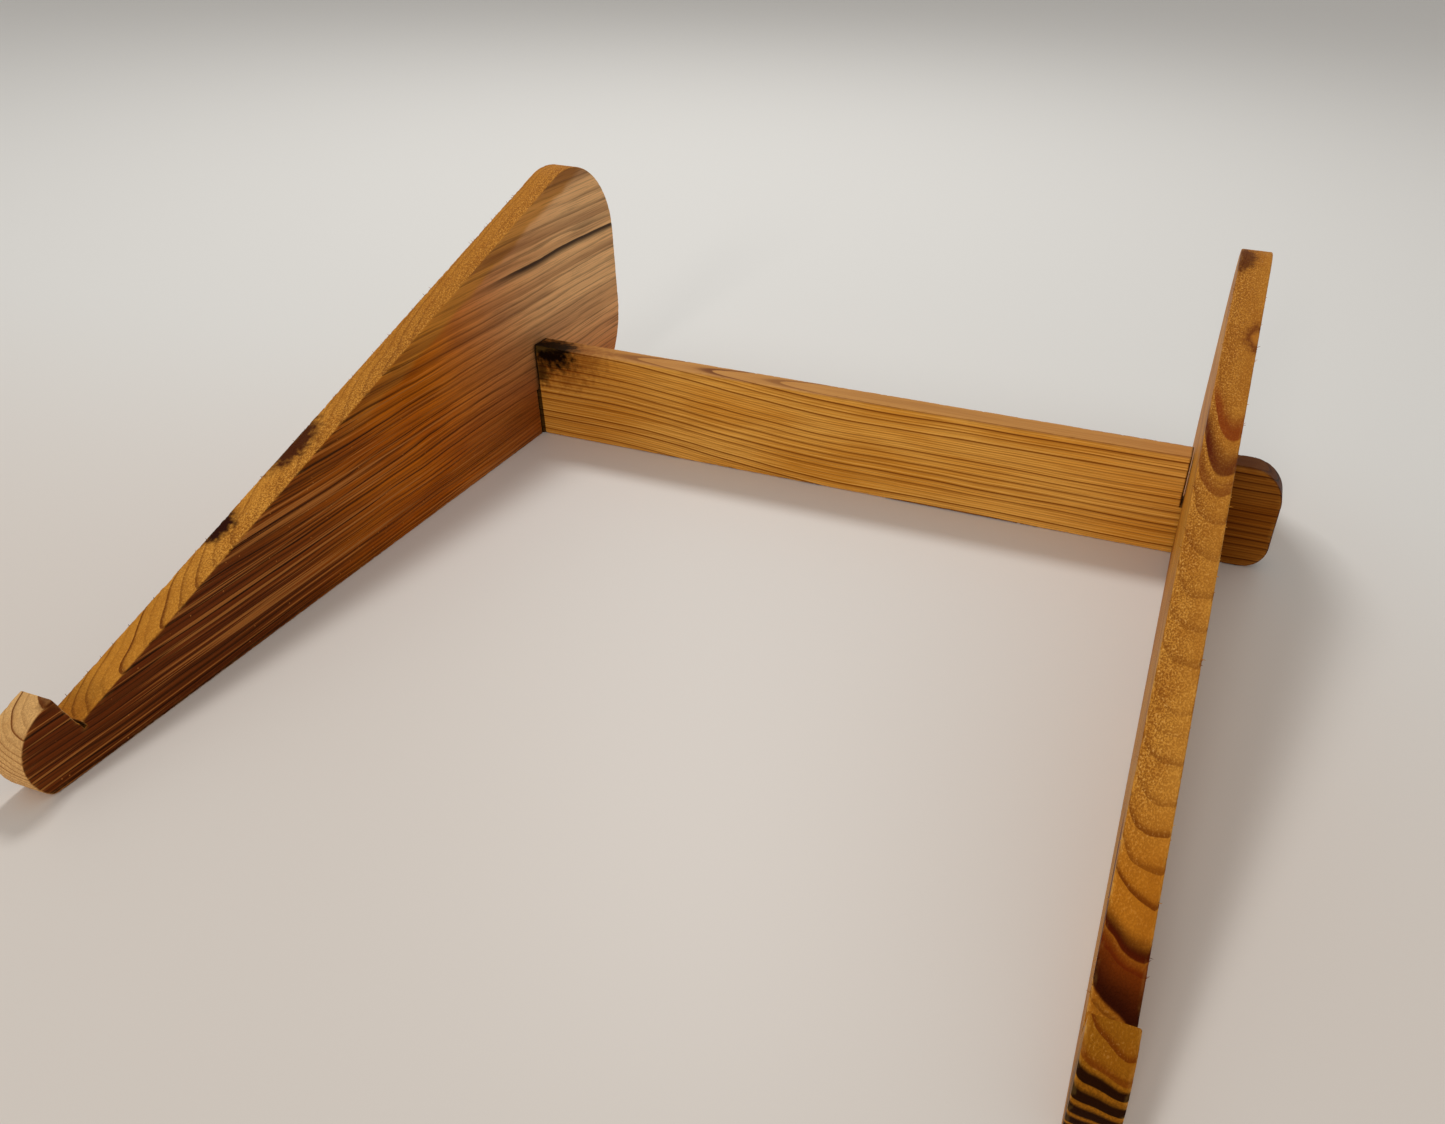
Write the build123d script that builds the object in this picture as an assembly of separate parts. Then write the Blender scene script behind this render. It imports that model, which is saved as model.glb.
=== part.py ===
from build123d import *
import os
from math import cos, radians, sin, sqrt, tan

# A knock-down stand of three boards: two wedge-shaped sides, each with a lip at its low front,
# and one cross rail that joins them. The rail stands on edge and drops into open slots.
# Frame: +X right, +Y back, +Z up. Origin on the table, in the middle of the footprint.

# Driving dimensions, in millimetres and degrees.
board_thickness = 12.0
inner_gap = 300.0          # clear width between the two sides

rest_angle = 18.0          # slope of the rest, from the table
rest_foot_height = 16.0    # height of the rest where it meets the lip
rest_foot_to_back = 340.0  # from that point to the upright back edge, along Y
lobe_radius = 37.0         # rounded top of the back
heel_radius = 40.0         # rounded bottom of the back

lip_height = 13.0          # lip above the rest, square to it
lip_flat = 5.0             # flat tip of the lip, along the slope
nose_radius = 16.0         # round front below the lip
toe_radius = 4.0           # where the round front meets the sole

kerf_width = 0.9           # saw cut that runs past the foot of the lip
kerf_depth = 2.5
kerf_setback = 0.2         # from the lip's back face to the saw cut

rail_height = 44.0
rest_foot_to_rail = 257.0  # from the foot of the lip to the rail's front face, along Y
rail_overhang = 25.0       # rail beyond each side's outer face
rail_top_radius = 15.0     # upper corners of the rail's ends
rail_bottom_radius = 10.0  # lower corners of the rail's ends
rail_edge_radius = 1.2     # eased long edges of the rail

lap_height = 22.0          # the sides are cut up to here, the rail down to here
lap_gap = 0.5              # play on each face inside a slot

# Worked out from the above. Points in a side's own plane are (Y, Z) from below the lip's foot.
slope = radians(rest_angle)
up_slope = (cos(slope), sin(slope))
off_slope = (-sin(slope), cos(slope))


def along(point, direction, distance):
    """The point that lies a distance from another, in the plane of a side."""
    return (point[0] + distance * direction[0], point[1] + distance * direction[1])


rest_foot = (0.0, rest_foot_height)
lip_back = along(rest_foot, off_slope, lip_height)
lip_front = along(lip_back, up_slope, -lip_flat)
nose_centre = along(lip_front, off_slope, -nose_radius)
nose_front = (nose_centre[0] - nose_radius, nose_centre[1])
depth = rest_foot_to_back - nose_front[0]
rest_foot_y = -depth / 2 - nose_front[0]
rail_middle_y = rest_foot_y + rest_foot_to_rail + board_thickness / 2
rail_length = inner_gap + 2 * (board_thickness + rail_overhang)
slot_width = board_thickness + 2 * lap_gap
inner_face_x = inner_gap / 2


def rounded(sketch, corner, radius):
    """The sketch with the corner that is nearest to a point rounded off."""
    return fillet(sketch.vertices().sort_by_distance((*corner, 0))[0], radius)


def side_outline():
    """Outline of a side board in its own plane, before the slot and the saw cut."""
    back_top = (rest_foot_to_back, rest_foot_height + rest_foot_to_back * tan(slope))
    heel = (rest_foot_to_back, 0.0)
    toe = (nose_centre[0] - sqrt(nose_radius**2 - nose_centre[1] ** 2), 0.0)
    edges = Polyline(lip_front, lip_back, rest_foot, back_top, heel, toe)
    edges += ThreePointArc(toe, nose_front, lip_front)
    outline = make_face(edges)
    outline = rounded(outline, back_top, lobe_radius)
    outline = rounded(outline, heel, heel_radius)
    return rounded(outline, toe, toe_radius)


def slot_in_side():
    """Slot for the rail, open at the sole. Its end sits on the floor of the rail's notch."""
    middle = rest_foot_to_rail + board_thickness / 2
    return Pos(middle, 0) * Rectangle(slot_width, 2 * lap_height)


def saw_cut():
    """Short saw cut beside the lip's back face, past the foot of the lip."""
    middle = along(rest_foot, up_slope, kerf_setback + kerf_width / 2)
    return Pos(*middle) * Rot(0, 0, rest_angle) * Rectangle(kerf_width, 2 * kerf_depth)


def side(inner_face, outward):
    """One side board, from its inner face outwards along X."""
    profile = side_outline() - slot_in_side() - saw_cut()
    board = extrude(Plane.YZ * profile, outward * board_thickness)
    return Pos(inner_face, rest_foot_y, 0) * board


def rail():
    """The cross rail, with a notch open at its top edge for each side."""
    outline = Pos(0, rail_height / 2) * Rectangle(rail_length, rail_height)
    outline = fillet(outline.vertices().group_by(Axis.Y)[-1], rail_top_radius)
    outline = fillet(outline.vertices().group_by(Axis.Y)[0], rail_bottom_radius)
    bar = extrude(Plane.XZ * outline, board_thickness / 2, both=True)
    bar = fillet(bar.faces().filter_by(Axis.Y).edges(), rail_edge_radius)
    notch = Box(slot_width, 2 * board_thickness, 2 * (rail_height - lap_height))
    notch_x = inner_face_x + board_thickness / 2
    for x in (-notch_x, notch_x):
        bar -= Pos(x, 0, rail_height) * notch
    return Pos(0, rail_middle_y, 0) * bar


parts = {
    "left_side": side(-inner_face_x, -1),
    "right_side": side(inner_face_x, 1),
    "cross_rail": rail(),
}

os.makedirs("parts", exist_ok=True)
for name, shape in parts.items():
    export_step(shape, f"parts/{name}.step")
    print(name, shape.bounding_box())
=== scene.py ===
import random
from math import asin, ceil, cos, pi, radians, sin, sqrt, tan

import bmesh
import bpy
from mathutils import Matrix, Vector, noise
from mathutils.geometry import delaunay_2d_cdt
from mathutils.kdtree import KDTree


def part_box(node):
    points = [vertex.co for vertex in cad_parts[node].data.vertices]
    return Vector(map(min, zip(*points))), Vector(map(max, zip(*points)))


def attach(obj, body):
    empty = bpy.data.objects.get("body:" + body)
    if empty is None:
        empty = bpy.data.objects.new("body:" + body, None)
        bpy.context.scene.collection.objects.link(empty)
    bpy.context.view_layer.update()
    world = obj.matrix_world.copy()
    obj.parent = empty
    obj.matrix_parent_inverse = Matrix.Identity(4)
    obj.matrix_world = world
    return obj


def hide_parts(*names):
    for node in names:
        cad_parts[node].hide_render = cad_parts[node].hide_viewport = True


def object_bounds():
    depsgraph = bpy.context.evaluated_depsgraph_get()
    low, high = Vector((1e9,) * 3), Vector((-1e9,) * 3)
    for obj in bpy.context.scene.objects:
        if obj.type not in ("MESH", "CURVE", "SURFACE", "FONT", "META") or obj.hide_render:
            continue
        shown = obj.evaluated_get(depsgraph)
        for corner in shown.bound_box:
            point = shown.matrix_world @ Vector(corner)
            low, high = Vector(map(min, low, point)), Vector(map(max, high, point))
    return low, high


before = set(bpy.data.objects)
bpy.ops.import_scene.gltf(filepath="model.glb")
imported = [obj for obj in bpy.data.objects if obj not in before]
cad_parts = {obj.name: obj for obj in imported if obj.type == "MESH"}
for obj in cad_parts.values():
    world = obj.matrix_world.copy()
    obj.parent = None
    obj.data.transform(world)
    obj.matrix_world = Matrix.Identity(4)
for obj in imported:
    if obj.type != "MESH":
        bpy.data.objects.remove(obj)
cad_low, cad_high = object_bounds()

# Looks of a knock-down desk stand made of three softwood boards: two wedge-shaped sides and the
# cross rail that drops into them. Each board is rebuilt as a fine mesh inside its CAD solid, with
# worn arrises, sawn relief and torn fibres, and gets its own timber.
# Metres and degrees, in the row frame: +X right, +Y back, +Z up.

MM = 0.001

# Driving dimensions of the sides, the same as the CAD solids'.
rest_angle = radians(18)
rest_foot_height = 16 * MM
rest_foot_to_back = 340 * MM
lobe_radius = 37 * MM
heel_radius = 40 * MM
lip_height = 13 * MM
lip_flat = 5 * MM
nose_radius = 16 * MM
toe_radius = 4 * MM
kerf_width = 0.9 * MM
kerf_depth = 2.5 * MM
kerf_setback = 0.2 * MM

# Driving dimensions of the rail and of the laps.
rail_top_radius = 15 * MM
rail_bottom_radius = 10 * MM
lap_height = 22 * MM
lap_gap = 0.5 * MM

# Places taken from the CAD nodes.
left_low, left_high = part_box("left_side")
right_low, right_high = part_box("right_side")
rail_low, rail_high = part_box("cross_rail")
rest_foot_y = left_high.y - rest_foot_to_back
rail_middle_y = (rail_low.y + rail_high.y) / 2
lap_x = (right_low.x + right_high.x) / 2
board_thickness = right_high.x - right_low.x
slot_width = board_thickness + 2 * lap_gap
slope = tan(rest_angle)

# Growth rings of the sides: they crowd together towards ring_reach, in millimetres from the pith.
ring_reach = 128.0
ring_rate = 20.0

# Wear and torn fibres.
chip_depth = 1.0 * MM
fibre_length = 1.6 * MM
fibres_on_slope = 70
fibres_on_rail_end = 14

# Mesh steps.
outline_step = 0.9 * MM
rim_columns = 10
face_step_along = 2.4 * MM
face_step_across = 1.0 * MM
face_margin = 0.55 * MM


# ---------------------------------------------------------------- outlines

def straight(start, end, step=outline_step):
    """Points from start towards end, without end itself."""
    start, end = Vector(start), Vector(end)
    count = max(1, round((end - start).length / step))
    return [start.lerp(end, i / count) for i in range(count)]


def arc(centre, radius, start, end, step=outline_step):
    """Points round a centre from one angle to the other in radians, without the last."""
    count = max(4, round(abs(end - start) * radius / step))
    angles = [start + (end - start) * i / count for i in range(count)]
    return [Vector((centre[0] + radius * cos(a), centre[1] + radius * sin(a))) for a in angles]


def polyline(*corners):
    """Points along straight runs through the corners, without the last corner."""
    points = []
    for start, end in zip(corners, corners[1:]):
        points += straight(start, end)
    return points


def side_outline():
    """Outline of a side board as (Y, Z) points, anticlockwise, from the toe along the sole."""
    along = Vector((cos(rest_angle), sin(rest_angle)))
    off = Vector((-sin(rest_angle), cos(rest_angle)))
    rest_foot = Vector((rest_foot_y, rest_foot_height))
    lip_back = rest_foot + lip_height * off
    lip_front = lip_back - lip_flat * along
    nose = lip_front - nose_radius * off
    toe_drop = nose.y - toe_radius
    toe = Vector((nose.x - sqrt((nose_radius - toe_radius) ** 2 - toe_drop**2), toe_radius))
    toe_angle = pi + asin(toe_drop / (nose_radius - toe_radius))
    back_y = left_high.y
    lobe_y = back_y - lobe_radius
    lobe_z = rest_foot.y + (lobe_y - rest_foot.x) * slope - lobe_radius / cos(rest_angle)
    heel = (back_y - heel_radius, heel_radius)
    slot_front, slot_back = rail_middle_y - slot_width / 2, rail_middle_y + slot_width / 2
    cut_front = rest_foot + kerf_setback * along
    cut_back = cut_front + kerf_width * along

    points = arc(toe, toe_radius, toe_angle, 1.5 * pi)
    points += polyline(
        (toe.x, 0), (slot_front, 0), (slot_front, lap_height), (slot_back, lap_height),
        (slot_back, 0), (heel[0], 0),
    )
    points += arc(heel, heel_radius, -pi / 2, 0)
    points += straight((back_y, heel[1]), (back_y, lobe_z))
    points += arc((lobe_y, lobe_z), lobe_radius, 0, pi / 2 + rest_angle)
    points += polyline(
        Vector((lobe_y, lobe_z)) + lobe_radius * off, cut_back, cut_back - kerf_depth * off,
        cut_front - kerf_depth * off, cut_front, rest_foot, lip_back, lip_front,
    )
    return points + arc(nose, nose_radius, pi / 2 + rest_angle, toe_angle)


def rail_outline():
    """Outline of the rail as (X, Z) points, anticlockwise, from the lower left corner."""
    left, right, top = rail_low.x, rail_high.x, rail_high.z
    low, high = rail_bottom_radius, rail_top_radius
    floor = top - lap_height
    points = arc((left + low, low), low, pi, 1.5 * pi)
    points += straight((left + low, 0), (right - low, 0))
    points += arc((right - low, low), low, -pi / 2, 0)
    points += straight((right, low), (right, top - high))
    points += arc((right - high, top - high), high, 0, pi / 2)
    corners = [(right - high, top)]
    for middle in (lap_x, -lap_x):
        near, far = middle + slot_width / 2, middle - slot_width / 2
        corners += [(near, top), (near, floor), (far, floor), (far, top)]
    points += polyline(*corners, (left + high, top))
    points += arc((left + high, top - high), high, pi / 2, pi)
    return points + straight((left, top - high), (left, low))


# ---------------------------------------------------------------- board meshes

def outward_miters(outline):
    """At each point, the vector by which an outline that grows by one unit moves."""
    miters = []
    for before, here, after in zip(outline[-1:] + outline[:-1], outline, outline[1:] + outline[:1]):
        first, second = (here - before).normalized(), (after - here).normalized()
        normal_1, normal_2 = Vector((first.y, -first.x)), Vector((second.y, -second.x))
        miters.append((normal_1 + normal_2) / (1 + normal_1.dot(normal_2)))
    return miters


def inner_points(loop):
    """Grid points inside a closed loop, clear of its edge, closer together across the grain."""
    near_edge = KDTree(len(loop))
    for i, point in enumerate(loop):
        near_edge.insert((point.x, point.y, 0), i)
    near_edge.balance()
    edges = list(zip(loop, loop[1:] + loop[:1]))
    low, high = min(p.y for p in loop), max(p.y for p in loop)
    points = []
    for row in range(1, ceil((high - low) / face_step_across)):
        w = low + row * face_step_across
        crossings = sorted(
            a.x + (b.x - a.x) * (w - a.y) / (b.y - a.y) for a, b in edges if (a.y > w) != (b.y > w)
        )
        for start, end in zip(crossings[::2], crossings[1::2]):
            stagger = (row % 2) / 2
            first = ceil(start / face_step_along - stagger)
            last = int(end // face_step_along)
            for column in range(first, last + 1):
                u = (column + stagger) * face_step_along
                clear = near_edge.find((u, w, 0))[2] > face_margin
                if start < u < end and clear:
                    points.append(Vector((u, w)))
    return points


def fill_face(mesh, loop, vertex_at, flip):
    """Fills a closed loop of mesh vertices with a fine triangle grid."""
    flat = [v[0] for v in loop]
    grid = inner_points(flat)
    all_points = [p / MM for p in flat + grid]
    edge_ids = [(i, (i + 1) % len(flat)) for i in range(len(flat))]
    made = delaunay_2d_cdt(all_points, edge_ids, [list(range(len(flat)))], 1, 1e-6)
    points, triangles, origins = made[0], made[2], made[3]
    vertices = []
    for point, origin in zip(points, origins):
        known = [i for i in origin if i < len(flat)]
        vertices.append(loop[known[0]][1] if known else vertex_at(point * MM))
    for triangle in triangles:
        corners = [vertices[i] for i in (reversed(triangle) if flip else triangle)]
        mesh.faces.new(corners)


def board(outline, across, low, high, arris, rim_relief, face_relief, seed):
    """A board of the given outline between two depths, with worn arrises and rough sawn edges.

    across turns (u, w, depth) into a place. arris(u, w, at_high) is the radius of the worn edge, and
    the reliefs are how far the surface lies below the CAD face. All in metres.
    """
    mesh = bmesh.new()
    wear = mesh.verts.layers.float.new("wear")
    rim = mesh.verts.layers.float.new("rim")
    miters = outward_miters(outline)
    offset = Vector((seed * 7.3, seed * 3.1, seed * 5.7))

    def face_vertex(at_high, point):
        depth = face_relief(Vector((point.x, point.y, at_high)) / MM + offset)
        return mesh.verts.new(across(point.x, point.y, high - depth if at_high else low + depth))

    stations = [(False, turn) for turn in (0, 1, 2, 3)]
    stations += [(None, column / rim_columns) for column in range(1, rim_columns)]
    stations += [(True, turn) for turn in (3, 2, 1, 0)]
    rings = []
    for end, share in stations:
        ring = []
        for point, miter in zip(outline, miters):
            if end is None:
                depth, inset = low + (high - low) * share, 0.0
                on_arris, on_rim = 0.0, 1.0
            else:
                radius = arris(point.x, point.y, end)
                turn = share * pi / 6
                inset = radius * (1 - sin(turn))
                below = radius * (1 - cos(turn))
                depth = high - below if end else low + below
                on_arris, on_rim = 1.0, share / 3
            place = across(point.x, point.y, depth)
            inset += rim_relief(place / MM + offset)
            flat = point - miter * inset
            if end is not None and share == 0:
                vertex = face_vertex(end, flat)
            else:
                vertex = mesh.verts.new(across(flat.x, flat.y, depth))
            vertex[wear] = on_arris
            vertex[rim] = on_rim
            ring.append((flat, vertex))
        rings.append(ring)

    count = len(outline)
    turned = across(1, 0, 0).cross(across(0, 1, 0)).dot(across(0, 0, 1)) < 0
    for ring, following in zip(rings, rings[1:]):
        for i in range(count):
            j = (i + 1) % count
            corners = [ring[i][1], ring[j][1], following[j][1], following[i][1]]
            mesh.faces.new(reversed(corners) if turned else corners)
    fill_face(mesh, rings[0], lambda p: face_vertex(False, p), not turned)
    fill_face(mesh, rings[-1], lambda p: face_vertex(True, p), turned)
    return mesh


def whiskers(mesh, across, line, depth, out, count, seed):
    """Torn fibres that stand up from an arris: thin tapered slivers, rooted just inside it."""
    draw = random.Random(seed)
    for _ in range(count):
        where = draw.random()
        start, end = line
        point = Vector(start).lerp(Vector(end), where)
        root = across(point.x, point.y, depth)
        length = draw.uniform(0.4, 1.0) ** 2 * fibre_length
        lean = Vector([draw.uniform(-1, 1) for _ in range(3)])
        heading = (Vector(out) + 0.9 * lean).normalized()
        side = heading.orthogonal().normalized()
        other = heading.cross(side)
        bend = side * draw.uniform(-0.35, 0.35) * length
        thick = draw.uniform(0.08, 0.16) * MM
        sections = []
        for share in (-0.3, 0.35, 0.75):
            middle = root + heading * length * share + bend * share * share
            size = thick * (1 - 0.6 * max(share, 0))
            turns = [2 * pi * k / 3 for k in range(3)]
            ring = [middle + size * (side * cos(t) + other * sin(t)) for t in turns]
            sections.append([mesh.verts.new(p) for p in ring])
        tip = mesh.verts.new(root + heading * length + bend)
        for first, second in zip(sections, sections[1:]):
            for k in range(3):
                m = (k + 1) % 3
                mesh.faces.new((first[k], first[m], second[m], second[k]))
        for k in range(3):
            mesh.faces.new((sections[-1][k], sections[-1][(k + 1) % 3], tip))
        mesh.faces.new(reversed(sections[0]))


def finished(mesh, name, node, body, material):
    """Turns the mesh into a shown piece that stands for its CAD node."""
    data = bpy.data.meshes.new(name)
    mesh.normal_update()
    mesh.to_mesh(data)
    mesh.free()
    data.materials.append(material)
    data.shade_smooth()
    data.set_sharp_from_angle(angle=radians(48))
    piece = bpy.data.objects.new(name, data)
    bpy.context.scene.collection.objects.link(piece)
    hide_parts(node)
    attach(piece, body)


def sawn_relief(point):
    """How far a sawn edge lies below its CAD face at a place in millimetres."""
    sway = 0.5 + 0.5 * noise.noise(point * 0.05)
    torn = 0.5 + 0.5 * noise.noise(Vector((point.x * 1.1, point.y * 0.5, point.z * 0.9)))
    return (0.12 * sway + 0.09 * torn**2) * MM


def planed_relief(point):
    """How far a planed face lies below its CAD face at a (u, w) place in millimetres."""
    cup = 0.5 + 0.5 * noise.noise(Vector((point.x * 0.012, point.y * 0.04, point.z)))
    ridge = 0.5 + 0.5 * noise.noise(Vector((point.x * 0.02, point.y * 0.45, point.z * 3)))
    return (0.06 * cup + 0.04 * ridge) * MM


def worn(least, most, seed):
    """Arris radius that wanders between two sizes, with small chips."""
    def radius(u, w, at_high):
        place = Vector((u / MM, w / MM, seed + 5 * at_high))
        share = 0.5 + 0.5 * noise.noise(place * 0.35)
        chip = max(0, noise.noise(place * 0.7 + Vector((9, 4, 2))) - 0.12)
        return least + (most - least) * share + chip_depth * chip
    return radius


def side_piece(name, node, body, low, high, arris, material, seed):
    """A side board with torn fibres along the arrises of its sawn slope."""
    def across(u, w, depth):
        return Vector((depth, u, w))

    def on_slope(run):
        return (rest_foot_y + run, rest_foot_height + run * slope - inset)

    inset = 0.3 * MM
    mesh = board(
        side_outline(), across, low.x, high.x, arris, sawn_relief, planed_relief, seed
    )
    line = (on_slope(3 * MM), on_slope(rest_foot_to_back - lobe_radius * 1.5))
    for depth, sideways in ((low.x + inset, -1), (high.x - inset, 1)):
        out = (0.7 * sideways, 0, 0.8)
        whiskers(mesh, across, line, depth, out, fibres_on_slope, seed + sideways)
    finished(mesh, name, node, body, material)


def rail_piece(material):
    """The cross rail, with eased long edges and torn fibres at its right end."""
    def across(u, w, depth):
        return Vector((u, depth, w))

    arris = worn(0.9 * MM, 1.2 * MM, 31)
    mesh = board(
        rail_outline(), across, rail_low.y, rail_high.y, arris, sawn_relief, planed_relief, 3
    )
    start = (rail_high.x - rail_top_radius, rail_high.z - 0.4 * MM)
    end = (rail_high.x - 4 * MM, rail_high.z - 4.5 * MM)
    for depth in (rail_low.y + 1 * MM, rail_high.y - 1 * MM):
        whiskers(mesh, across, (start, end), depth, (0.2, 0, 1), fibres_on_rail_end, 41)
    finished(mesh, "rail_board", "cross_rail", "rail", material)


# ---------------------------------------------------------------- timber

class Timber:
    """A node material under construction. Its methods add nodes and return output sockets."""

    def __init__(self, name):
        self.material = bpy.data.materials.new(name)
        self.material.use_nodes = True
        self.tree = self.material.node_tree
        self.tree.nodes.clear()
        coordinates = self.node("ShaderNodeTexCoord")
        self.place = self.scaled(coordinates.outputs["Object"], (1 / MM,) * 3)
        self.normal = coordinates.outputs["Normal"]

    def node(self, kind, inputs=None, **settings):
        made = self.tree.nodes.new(kind)
        for key, value in settings.items():
            setattr(made, key, value)
        for key, value in (inputs or {}).items():
            if isinstance(value, bpy.types.NodeSocket):
                self.tree.links.new(value, made.inputs[key])
            else:
                made.inputs[key].default_value = value
        return made

    def math(self, operation, a, b=0.0):
        return self.node("ShaderNodeMath", {0: a, 1: b}, operation=operation).outputs[0]

    def add(self, *values):
        total = values[0]
        for value in values[1:]:
            total = self.math("ADD", total, value)
        return total

    def times(self, *values):
        total = values[0]
        for value in values[1:]:
            total = self.math("MULTIPLY", total, value)
        return total

    def scaled(self, vector, factors):
        inputs = {0: vector, 1: factors}
        return self.node("ShaderNodeVectorMath", inputs, operation="MULTIPLY").outputs[0]

    def parts(self, vector):
        return self.node("ShaderNodeSeparateXYZ", {0: vector}).outputs

    def step(self, value, start, end):
        """0 at start and 1 at end, smooth in between. start may be the larger."""
        inputs = {"Value": value, "From Min": start, "From Max": end}
        return self.node("ShaderNodeMapRange", inputs, interpolation_type="SMOOTHSTEP").outputs[0]

    def cloud(self, vector, stretch, detail=2.0, roughness=0.5):
        """Noise from 0 to 1. stretch is its frequency per millimetre on each axis."""
        inputs = {"Vector": self.scaled(vector, stretch), "Scale": 1.0}
        inputs.update({"Detail": detail, "Roughness": roughness})
        return self.node("ShaderNodeTexNoise", inputs).outputs[0]

    def spots(self, vector, stretch):
        """Distance to the nearest of many scattered points."""
        inputs = {"Vector": self.scaled(vector, stretch), "Scale": 1.0}
        return self.node("ShaderNodeTexVoronoi", inputs).outputs["Distance"]

    def mix(self, share, first, second, way="MIX"):
        made = self.node("ShaderNodeMix", data_type="RGBA", blend_type=way, clamp_result=True)
        for index, value in ((0, share), (6, first), (7, second)):
            if isinstance(value, bpy.types.NodeSocket):
                self.tree.links.new(value, made.inputs[index])
            elif index == 0:
                made.inputs[0].default_value = value
            else:
                made.inputs[index].default_value = srgb(value)
        return made.outputs[2]

    def finish(self, colour, roughness, height, depth, shine=0.1, glint=(255, 190, 110)):
        """Joins the colour, roughness and bump height to the surface."""
        bump = self.node("ShaderNodeBump", {"Height": height, "Strength": 1.0, "Distance": depth})
        inputs = {"Base Color": colour, "Roughness": roughness, "Normal": bump.outputs[0]}
        surface = self.node("ShaderNodeBsdfPrincipled", inputs)
        surface.inputs["Specular IOR Level"].default_value = shine
        surface.inputs["Specular Tint"].default_value = srgb(glint)
        output = self.node("ShaderNodeOutputMaterial")
        self.tree.links.new(surface.outputs[0], output.inputs[0])
        return self.material


def srgb(colour):
    """A display colour from 0 to 255 as the linear colour that a socket wants."""
    linear = [((c / 255 + 0.055) / 1.055) ** 2.4 if c > 10 else c / 255 / 12.92 for c in colour]
    return (*linear, 1.0)


def late_wood(timber, phase):
    """Late wood from 0 to 1: each ring darkens slowly, then ends in a crisp dark line."""
    share = timber.math("FRACT", phase)
    whole = timber.math("FLOOR", phase)
    random_ring = timber.node("ShaderNodeTexWhiteNoise", {"W": whole}, noise_dimensions="1D")
    strength = timber.step(random_ring.outputs["Value"], -0.5, 1.0)
    end = timber.step(share, 1.0, 0.965)
    soft = timber.times(timber.step(share, 0.3, 1.0), 0.35)
    crisp = timber.times(timber.step(share, 0.68, 0.9), 0.65)
    return timber.times(timber.add(soft, crisp), end, strength)


def knot(timber, centre, size):
    """1 inside a knot with a ragged edge, 0 outside it. centre and size in millimetres."""
    inputs = {0: timber.place, 1: centre}
    shifted = timber.node("ShaderNodeVectorMath", inputs, operation="SUBTRACT").outputs[0]
    reach = timber.scaled(shifted, tuple(1 / s for s in size))
    distance = timber.node("ShaderNodeVectorMath", {0: reach}, operation="LENGTH").outputs["Value"]
    ragged = timber.times(timber.cloud(timber.place, (0.45, 0.45, 0.45), 4), 0.9)
    return timber.step(timber.add(distance, ragged), 1.5, 0.9)


def streaked(timber, colour, level, y, levels, stretch, share, tint):
    """The colour, with a streak that grows between two levels and stops crisply at the third."""
    light, full, end = levels
    front, back = stretch
    fade = 3 if front < rest_foot_y / MM + 5 else 25
    ended = timber.step(level, end + (end - light) * 0.1, end)
    across = timber.times(timber.step(level, light, full), ended)
    along = timber.times(timber.step(y, front - fade, front + fade), timber.step(y, back + 8, back - 8))
    return timber.mix(timber.times(across, along, share), colour, tint)


def window(timber, value, middle, reach):
    """1 within reach of the middle, 0 beyond it."""
    off = timber.math("ABSOLUTE", timber.math("SUBTRACT", value, middle))
    return timber.step(off, reach, reach - 0.4)


def rubbed_arris(timber, colour, stretch):
    """The colour, with the arrises rubbed lighter in patches."""
    wear = timber.node("ShaderNodeAttribute", attribute_name="wear").outputs["Fac"]
    patches = timber.step(timber.cloud(timber.place, stretch, 3), 0.42, 0.62)
    return timber.mix(timber.times(wear, patches, 0.5), colour, (90, 68, 30), "ADD")


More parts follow.
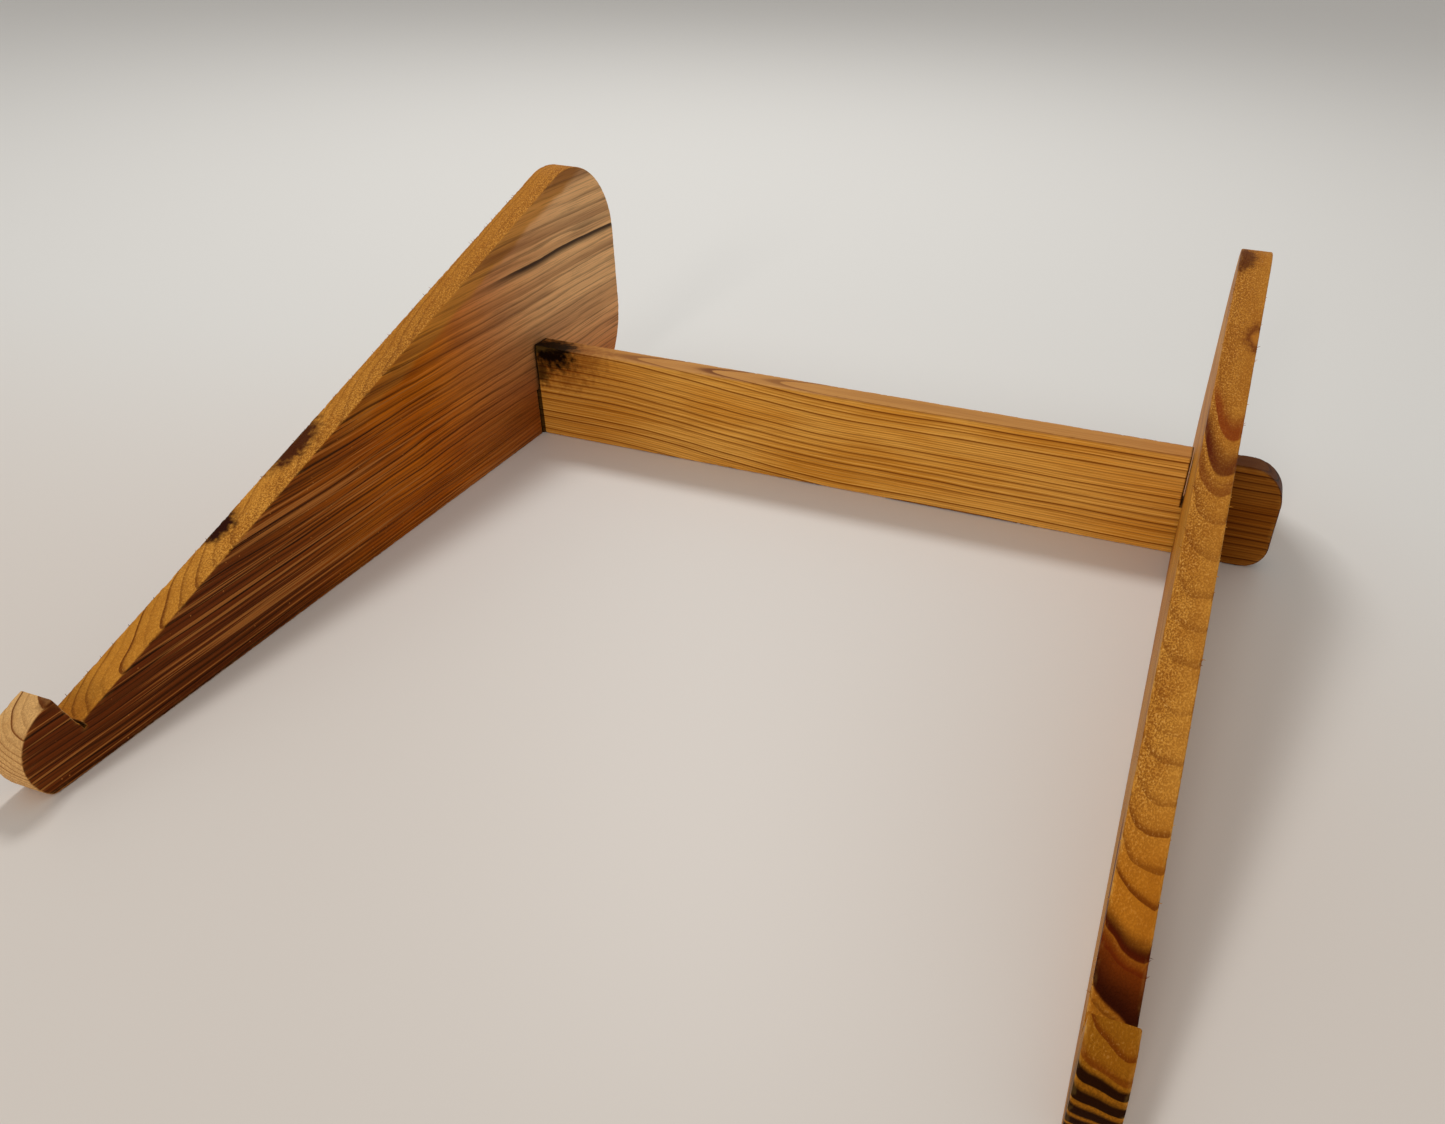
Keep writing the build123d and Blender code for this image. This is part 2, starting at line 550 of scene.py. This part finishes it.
def side_wood(
    name, pith, roundness, face, pale, dark, sapwood, sawn, amber, nose, face_streaks, streaks, knots,
):
    """Timber of a side board, whose grain runs along Y. Places are in millimetres.

    pith is the (X, Z) heart of the growth rings and roundness how strongly they curve across the
    board. face holds the colours of the planed faces: early wood, late wood, a second early wood,
    pale hairlines and broad bands. sawn holds those of the long cut: early wood, late wood,
    blotches and glints. nose holds those of square end grain: early wood, then late wood. pale and
    dark are (share, colour) of the rear and of the front of the faces, each partly the wood's own
    colour and partly painted light: a painted sheen at the rear and painted shade at the front.
    dark also sets the painted shade low on the faces beside the rail. sapwood is the share of light
    wood in the faces below the rear of the cut, and amber (share, colour) of the front of the cut.
    Each streak is its ring radii, its stretch along Y, its share and its colour; face_streaks show
    on the planed faces only. Each knot is its centre, its size, its share and its colour.
    """
    timber = Timber(name)
    place = timber.place
    x, y, z = timber.parts(place)
    sway = timber.math("SUBTRACT", timber.cloud(place, (0.04, 0.009, 0.03), 2), 0.5)
    ripple = timber.math("SUBTRACT", timber.cloud(place, (0.16, 0.05, 0.1), 2), 0.5)
    from_x = timber.times(timber.math("SUBTRACT", x, pith[0]), roundness)
    from_z = timber.math("SUBTRACT", z, pith[1])
    from_z = timber.add(from_z, timber.times(sway, 7.0), timber.times(ripple, 0.8))
    squares = timber.add(timber.times(from_x, from_x), timber.times(from_z, from_z))
    radius = timber.math("SQRT", squares)
    room_left = timber.math("SUBTRACT", 1.0, timber.times(radius, 1 / ring_reach))
    spread = timber.math("LOGARITHM", room_left, 2.718)
    uneven = timber.times(timber.cloud(place, (0.02, 0.003, 0.1), 2), 2.0)
    lines = late_wood(timber, timber.add(timber.times(spread, -ring_rate), uneven))
    fine = late_wood(timber, timber.times(radius, 0.6))
    bold = late_wood(timber, timber.times(radius, 0.32))

    fibre = timber.cloud(place, (1.6, 0.03, 1.6), 5, 0.65)
    hairline = timber.step(timber.cloud(place, (0.8, 0.006, 0.8), 3, 0.6), 0.54, 0.61)
    mottle = timber.cloud(place, (0.06, 0.02, 0.06), 4)
    blotch = timber.step(timber.cloud(place, (0.16, 0.06, 0.16), 4), 0.42, 0.68)
    torn = timber.cloud(place, (2.1, 1.3, 2.1), 2, 0.6)
    speckle = timber.step(torn, 0.46, 0.6)
    glints = timber.step(torn, 0.42, 0.3)
    dust = timber.step(timber.spots(place, (0.3, 0.3, 0.3)), 0.09, 0.05)

    is_sawn = timber.node("ShaderNodeAttribute", attribute_name="rim").outputs["Fac"]
    endness = timber.math("ABSOLUTE", timber.parts(timber.normal)[1])
    is_end = timber.times(is_sawn, timber.step(endness, 0.45, 0.9))
    is_front = timber.step(y, -85.0, -125.0)
    is_lip = timber.step(y, rest_foot_y / MM, rest_foot_y / MM - 2)
    clear_of_heart = timber.step(radius, 9.0, 24.0)

    planed = timber.mix(timber.step(mottle, 0.3, 0.7), face[0], face[2])
    # The faces darken towards the front: partly the wood's own colour, partly painted shade.
    front = timber.times(timber.step(y, 30.0, -110.0), dark[0])
    planed = timber.mix(front, planed, dark[1])
    # The faces pale towards the rear and the top: partly the wood's own colour, partly a painted sheen.
    rear = timber.times(timber.step(y, 10.0, 150.0), timber.step(z, 0.0, 60.0), pale[0])
    planed = timber.mix(rear, planed, pale[1])
    cut_height = timber.add(timber.times(y, slope), (rest_foot_height - rest_foot_y * slope) / MM)
    below_cut = timber.math("SUBTRACT", cut_height, z)
    sap_depth = timber.add(below_cut, timber.times(ripple, 6.0))
    sap = timber.times(timber.step(sap_depth, 9.5, 6.0), timber.step(y, -60.0, 40.0), sapwood)
    planed = timber.mix(sap, planed, sawn[0])
    tight = timber.step(timber.add(y, z), 150.0, 20.0)
    # Painted shade: the faces turn darker and greyer low down beside the rail.
    near_rail = timber.times(timber.step(y, 10.0, 85.0), timber.step(y, 175.0, 95.0))
    painted_shade_near_rail = timber.times(timber.step(z, 62.0, 6.0), near_rail)
    planed = timber.mix(timber.times(painted_shade_near_rail, dark[0], 0.6), planed, (112, 64, 40))
    broad = timber.step(timber.cloud(place, (0.16, 0.004, 0.16), 2), 0.45, 0.6)
    planed = timber.mix(timber.times(broad, 0.3), planed, face[4])
    line_share = timber.add(timber.times(tight, 0.45), 0.45)
    planed = timber.mix(timber.times(lines, line_share), planed, face[1])
    fine_share = timber.add(timber.times(is_front, -0.45), 0.85)
    planed = timber.mix(timber.times(fine, tight, fine_share), planed, face[1])
    planed = timber.mix(timber.times(bold, timber.step(y, 0.0, -90.0), dark[0]), planed, (20, 6, 2))
    planed = timber.mix(timber.times(timber.step(fibre, 0.45, 0.66), 0.35), planed, face[1])
    planed = timber.mix(timber.times(hairline, tight, 0.6), planed, face[3])
    planed = timber.mix(timber.times(dust, tight, 0.7), planed, face[3])

    for each in face_streaks:
        planed = streaked(timber, planed, radius, y, *each)

    cut = timber.mix(timber.times(is_front, amber[0]), sawn[0], amber[1])
    cut = timber.mix(timber.times(timber.step(y, -70.0, 30.0), 0.45), cut, (168, 100, 20))
    cut = timber.mix(is_lip, cut, nose[0])
    cut = timber.mix(timber.times(blotch, 0.35), cut, sawn[2])
    ring_share = timber.times(timber.add(timber.times(is_front, 0.5), 0.45), clear_of_heart)
    cut = timber.mix(timber.times(lines, ring_share), cut, sawn[1])
    inward = timber.step(timber.math("ABSOLUTE", x), lap_x / MM + 5, lap_x / MM - 4)
    torn_share = timber.add(timber.times(is_front, -0.4), 0.6)
    torn_share = timber.times(torn_share, timber.add(timber.times(inward, 0.55), 0.45))
    cut = timber.mix(timber.times(speckle, torn_share), cut, sawn[1])
    cut = timber.mix(timber.times(glints, torn_share), cut, sawn[3])
    square = timber.mix(lines, nose[0], nose[1])
    square = timber.mix(timber.times(speckle, 0.25), square, nose[1])
    colour = timber.mix(is_sawn, planed, cut)
    colour = timber.mix(is_end, colour, square)

    for each in streaks:
        colour = streaked(timber, colour, radius, y, *each)
    for centre, size, share, tint in knots:
        colour = timber.mix(timber.times(knot(timber, centre, size), share), colour, tint)
    colour = rubbed_arris(timber, colour, (0.5, 0.15, 0.5))
    foot, rail = rest_foot_y / MM, rail_middle_y / MM
    in_kerf = timber.times(window(timber, y, foot + 0.8, 1.8), timber.step(below_cut, 0.4, 1.0))
    below_lap = timber.step(z, lap_height / MM + 1, lap_height / MM)
    in_slot = timber.times(window(timber, y, rail, 7.0), below_lap)
    # Painted shade: the walls of the kerf and of the slot are darkened where shade falls in them.
    painted_shade_in_cuts = timber.times(timber.math("MAXIMUM", in_kerf, in_slot), is_sawn, 0.75)
    colour = timber.mix(painted_shade_in_cuts, colour, (36, 15, 5))

    roughness = timber.add(timber.times(fibre, 0.2), timber.times(is_sawn, 0.2), 0.42)
    height = timber.add(timber.times(fibre, 0.5), timber.times(lines, -0.3))
    height = timber.add(height, timber.times(is_sawn, speckle, -0.6))
    return timber.finish(colour, roughness, height, 0.15 * MM)


def rail_wood():
    """Timber of the rail, whose grain runs along X and dips to the right across the left third."""
    timber = Timber("rail_timber")
    place = timber.place
    x, y, z = timber.parts(place)
    dip = timber.times(timber.step(x, -125.0, 10.0), 9.0)
    off_heart = timber.math("SUBTRACT", y, rail_middle_y / MM)
    bow = timber.times(off_heart, off_heart, -0.07)
    wander = timber.times(timber.cloud(place, (0.012, 0.04, 0.04), 2), 3.0)
    level = timber.add(z, dip, bow, wander)
    lines = late_wood(timber, timber.add(timber.times(level, 0.32), 0.2))
    fine = late_wood(timber, timber.times(level, 0.93))
    pale_lines = late_wood(timber, timber.add(timber.times(level, 0.7), 0.35))
    fibre = timber.cloud(place, (0.03, 1.6, 1.6), 5, 0.65)
    mottle = timber.cloud(place, (0.015, 0.05, 0.05), 3)

    n_x, _, n_z = timber.parts(timber.normal)
    is_end = timber.step(timber.math("ABSOLUTE", n_x), 0.3, 0.85)
    is_top = timber.step(n_z, 0.4, 0.9)
    is_outer = timber.step(x, lap_x / MM - 8, lap_x / MM + 8)

    planed = timber.mix(timber.step(mottle, 0.35, 0.7), (238, 174, 78), (222, 150, 52))
    planed = timber.mix(timber.times(timber.step(x, -60.0, -130.0), 0.6), planed, (190, 120, 36))
    planed = timber.mix(timber.times(pale_lines, 0.6), planed, (242, 188, 98))
    planed = timber.mix(timber.times(lines, 0.95), planed, (110, 48, 4))
    planed = timber.mix(timber.times(fine, 0.65), planed, (132, 68, 6))
    planed = timber.mix(timber.times(timber.step(fibre, 0.42, 0.66), 0.4), planed, (150, 84, 12))
    top = timber.mix(lines, (196, 138, 70), (116, 62, 18))
    top = timber.mix(timber.times(timber.step(fibre, 0.4, 0.7), 0.4), top, (150, 90, 36))
    colour = timber.mix(is_top, planed, top)
    end = timber.mix(lines, (150, 84, 28), (48, 18, 4))
    colour = timber.mix(is_end, colour, end)
    # Painted shade: the rail beyond the right side is darkened where that side shades it.
    colour = timber.mix(timber.times(is_outer, 0.9), colour, (136, 104, 60), "MULTIPLY")

    knot_place = (-141.0, rail_low.y / MM, rail_high.z / MM + 1)
    stain = knot(timber, knot_place, (36.0, 18.0, 24.0))
    heart = knot(timber, knot_place, (18.0, 14.0, 15.0))
    drip = knot(timber, (-147.0, rail_low.y / MM, 32.0), (6.0, 6.0, 8.0))
    colour = timber.mix(timber.times(stain, 0.55), colour, (110, 46, 6))
    colour = timber.mix(timber.math("MAXIMUM", heart, timber.times(drip, 0.8)), colour, (8, 2, 1))
    colour = rubbed_arris(timber, colour, (0.15, 0.5, 0.5))

    inner = (lap_x - board_thickness / 2) / MM
    # Painted shade: thin near-black lines on the rail stand in for the shaded gaps of the laps, the
    # full height at the left side and above the lap floor at the right.
    left_painted_gap_shade = window(timber, x, -inner + 0.3, 1.6)
    beside_lap = timber.step(x, inner - 1.6, inner - 0.6)
    beside_lap = timber.times(beside_lap, timber.step(x, inner + 1.0, inner))
    right_painted_gap_shade = timber.times(timber.step(z, 21.0, 24.0), beside_lap)
    painted_gap_shade = timber.math("MAXIMUM", left_painted_gap_shade, right_painted_gap_shade)
    colour = timber.mix(timber.times(painted_gap_shade, 0.9), colour, (10, 4, 2))

    roughness = timber.add(timber.times(fibre, 0.2), 0.42)
    height = timber.add(timber.times(fibre, 0.5), timber.times(lines, -0.3))
    return timber.finish(colour, roughness, height, 0.15 * MM)


# ---------------------------------------------------------------- the stand

left_timber = side_wood(
    "left_timber", pith=(-146.9, 100.0), roundness=2.2,
    face=((222, 124, 16), (26, 8, 2), (190, 96, 6), (206, 132, 62), (130, 68, 24)),
    pale=(0.85, (255, 206, 144)), dark=(0.94, (106, 45, 15)), sapwood=0.85,
    sawn=((212, 144, 54), (104, 46, 4), (168, 98, 22), (234, 176, 92)),
    amber=(0.5, (186, 118, 32)), nose=((222, 172, 108), (140, 80, 30)),
    face_streaks=[
        ((25.0, 21.5, 21.0), (75.0, 220.0), 0.95, (24, 8, 3)),
        ((8.0, 13.0, 14.0), (20.0, 220.0), 0.5, (110, 56, 22)),
        ((27.0, 31.0, 32.0), (-30.0, 220.0), 0.4, (110, 56, 22)),
        ((33.0, 38.0, 39.0), (-40.0, 120.0), 0.4, (90, 42, 14)),
    ],
    streaks=[],
    knots=[
        ((-162.0, -44.0, 54.0), (9.0, 26.0, 8.0), 0.95, (60, 12, 1)),
        ((-162.0, -84.0, 41.0), (7.0, 11.0, 6.0), 1.0, (44, 8, 1)),
        ((-151.0, -164.5, 28.0), (3.4, 4.0, 4.0), 0.8, (96, 46, 14)),
    ],
)
# Stretches along Y, and ring radii, of the dark streaks of the right side.
on_band = (-158.0, -95.0)
on_lip = (-220.0, -162.0)
on_nose = (-220.0, -166.0)
on_tongue = (10.0, 60.0)
nose_stripes = [
    (77.2, 78.2, 79.6), (80.6, 81.8, 83.6), (84.4, 85.6, 87.3), (88.0, 89.2, 91.0), (91.8, 92.8, 94.6),
]
right_timber = side_wood(
    "right_timber", pith=(159.0, 100.0), roundness=1.85,
    face=((216, 150, 50), (104, 50, 6), (190, 122, 34), (232, 180, 92), (170, 100, 30)),
    pale=(0.2, (206, 150, 84)), dark=(0.15, (160, 104, 30)), sapwood=0.0,
    sawn=((204, 138, 52), (112, 50, 4), (158, 88, 16), (232, 178, 100)),
    # nose colours here: the wood's own end grain, darkened with painted shade of the lower nose.
    amber=(0.7, (184, 104, 4)), nose=((152, 92, 16), (40, 12, 2)),
    face_streaks=[],
    streaks=[
        ((75.3, 77.0, 77.3), on_band, 1.0, (56, 10, 1)),
        ((76.0, 78.6, 82.2), on_band, 0.9, (104, 32, 2)),
        ((78.0, 82.0, 82.2), on_band, 1.0, (56, 12, 2)),
        ((75.2, 76.5, 76.8), on_lip, 0.6, (110, 40, 4)),
        *((radii, on_nose, 1.0, (34, 10, 3)) for radii in nose_stripes),
        ((15.0, 19.0, 20.0), on_tongue, 0.8, (130, 44, 2)),
        ((21.0, 25.5, 26.0), on_tongue, 0.95, (84, 16, 1)),
        ((27.0, 29.0, 29.5), (0.0, 60.0), 0.7, (110, 40, 4)),
    ],
    knots=[
        ((161.5, 90.0, 97.5), (6.0, 12.0, 6.0), 0.8, (104, 40, 4)),
        ((161.5, 90.0, 97.5), (2.8, 6.0, 2.8), 0.8, (190, 120, 40)),
        ((150.5, 138.0, 111.5), (7.0, 16.0, 6.0), 0.85, (84, 34, 6)),
    ],
)
side_piece(
    "left_board", "left_side", "left", left_low, left_high,
    worn(0.2 * MM, 0.5 * MM, 11), left_timber, 1,
)
side_piece(
    "right_board", "right_side", "right", right_low, right_high,
    worn(0.4 * MM, 0.9 * MM, 21), right_timber, 2,
)
rail_piece(rail_wood())


# ---------------------------------------------------------------- studio

def floor():
    """A plain pale table top, large enough to fill the view, with painted light: warmer and a little
    darker towards the front, cooler towards the back.
    """
    data = bpy.data.meshes.new("table_top")
    half = 3.0
    corners = [(-half, -half, 0), (half, -half, 0), (half, half, 0), (-half, half, 0)]
    data.from_pydata(corners, [], [(0, 1, 2, 3)])
    timber = Timber("table_paint")
    tone = timber.cloud(timber.place, (0.0015, 0.0015, 0.0015), 2)
    depth = timber.parts(timber.place)[1]
    # Painted light: warm at the front and cool at the back, standing in for the colours of the lamps in
    # front and behind.
    colour = timber.mix(timber.step(depth, -150.0, 180.0), (220, 209, 199), (226, 223, 218))
    colour = timber.mix(timber.times(tone, 0.3), colour, (222, 220, 214))
    roughness = timber.add(timber.times(tone, 0.1), 0.42)
    grain = timber.cloud(timber.place, (0.4, 0.4, 0.4), 2)
    data.materials.append(timber.finish(colour, roughness, grain, 0.01 * MM, 0.4, (255, 255, 255)))
    top = bpy.data.objects.new("table_top", data)
    bpy.context.scene.collection.objects.link(top)


def soft_light(name, place, target, size, power, colour):
    """A large square lamp that faces a point."""
    data = bpy.data.lights.new(name, "AREA")
    data.shape = "SQUARE"
    data.size = size
    data.energy = power
    data.color = colour
    lamp = bpy.data.objects.new(name, data)
    lamp.location = place
    lamp.rotation_mode = "QUATERNION"
    lamp.rotation_quaternion = (Vector(target) - Vector(place)).to_track_quat("-Z", "Y")
    bpy.context.scene.collection.objects.link(lamp)


def studio():
    """Soft light from above, behind and to the left, a weaker one in front, and an even fill."""
    world = bpy.data.worlds.new("studio_air")
    world.use_nodes = True
    air = world.node_tree.nodes["Background"]
    air.inputs["Color"].default_value = (1.0, 0.975, 0.945, 1.0)
    air.inputs["Strength"].default_value = 0.46
    bpy.context.scene.world = world
    bpy.context.scene.view_settings.view_transform = "Standard"
    middle = (cad_low + cad_high) / 2
    soft_light("ceiling", middle + Vector((-0.45, 0.85, 1.25)), middle, 0.3, 10.5, (0.97, 0.99, 1.0))
    soft_light("window", middle + Vector((0.0, -1.87, 0.72)), middle, 0.4, 10.0, (1.0, 0.97, 0.92))


def camera():
    """The view from the front right, above the lips."""
    tilt, turn, roll = radians(35.53), radians(18.03), radians(2.19)
    data = bpy.data.cameras.new("camera")
    data.sensor_width = 36.0
    data.lens = 27.43
    data.shift_x, data.shift_y = -0.0756, 0.0518
    data.clip_start = 0.01
    viewer = bpy.data.objects.new("camera", data)
    turned = Matrix.Rotation(turn, 4, "Z") @ Matrix.Rotation(pi / 2 - tilt, 4, "X")
    place = Matrix.Translation((0.139853, -0.326598, 0.235755))
    viewer.matrix_world = place @ turned @ Matrix.Rotation(roll, 4, "Z")
    bpy.context.scene.collection.objects.link(viewer)
    bpy.context.scene.camera = viewer


floor()
studio()
camera()
